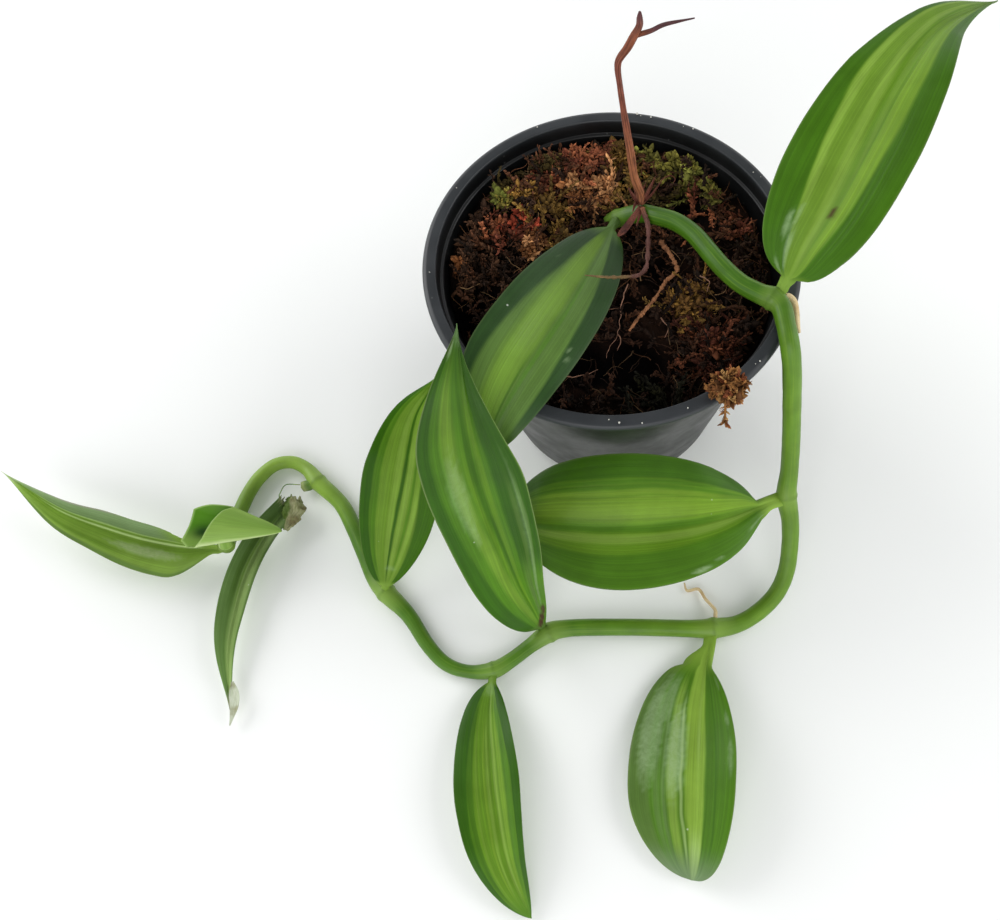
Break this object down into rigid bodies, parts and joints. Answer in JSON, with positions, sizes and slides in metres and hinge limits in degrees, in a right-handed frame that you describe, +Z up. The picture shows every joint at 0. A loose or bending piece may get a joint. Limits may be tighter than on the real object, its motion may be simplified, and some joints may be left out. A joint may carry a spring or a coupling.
{
  "type": "potted orchid vine",
  "caption": "Climbing orchid with striped green leaves, trailing out of a round black nursery pot filled with moss.",
  "frame": {"origin": "centre of the pot's underside, on the surface that it stands on", "axes": "+Z up; the plant trails towards -Y, the side that the picture looks from, and along X"},
  "size_m": [0.3465, 0.2647, 0.162],
  "materials": {
    "pot": "black moulded polypropylene, satin, dusty on the outside",
    "moss": "damp, half decayed sphagnum moss",
    "tuft": "dry tan moss",
    "stem": "smooth succulent green stem",
    "leaf": "thick waxy leaf, green with yellow green stripes",
    "dry": "dry reddish brown plant fibre",
    "root": "pale beige aerial root"
  },
  "bodies": {
    "root": {"pot": "pot", "moss": "moss", "moss_tuft": "tuft", "vine": "stem", "dry_shoot": "dry", "dry_root": "dry", "air_root": "root", "root_nub": "root", "leaf_pot": "leaf", "leaf_back": "leaf", "leaf_wall": "leaf", "leaf_front": "leaf", "leaf_tall": "leaf", "leaf_narrow": "leaf", "leaf_mid": "leaf", "leaf_broken": "leaf", "leaf_keeled": "leaf", "leaf_furled": "leaf"}
  },
  "joints": []
}
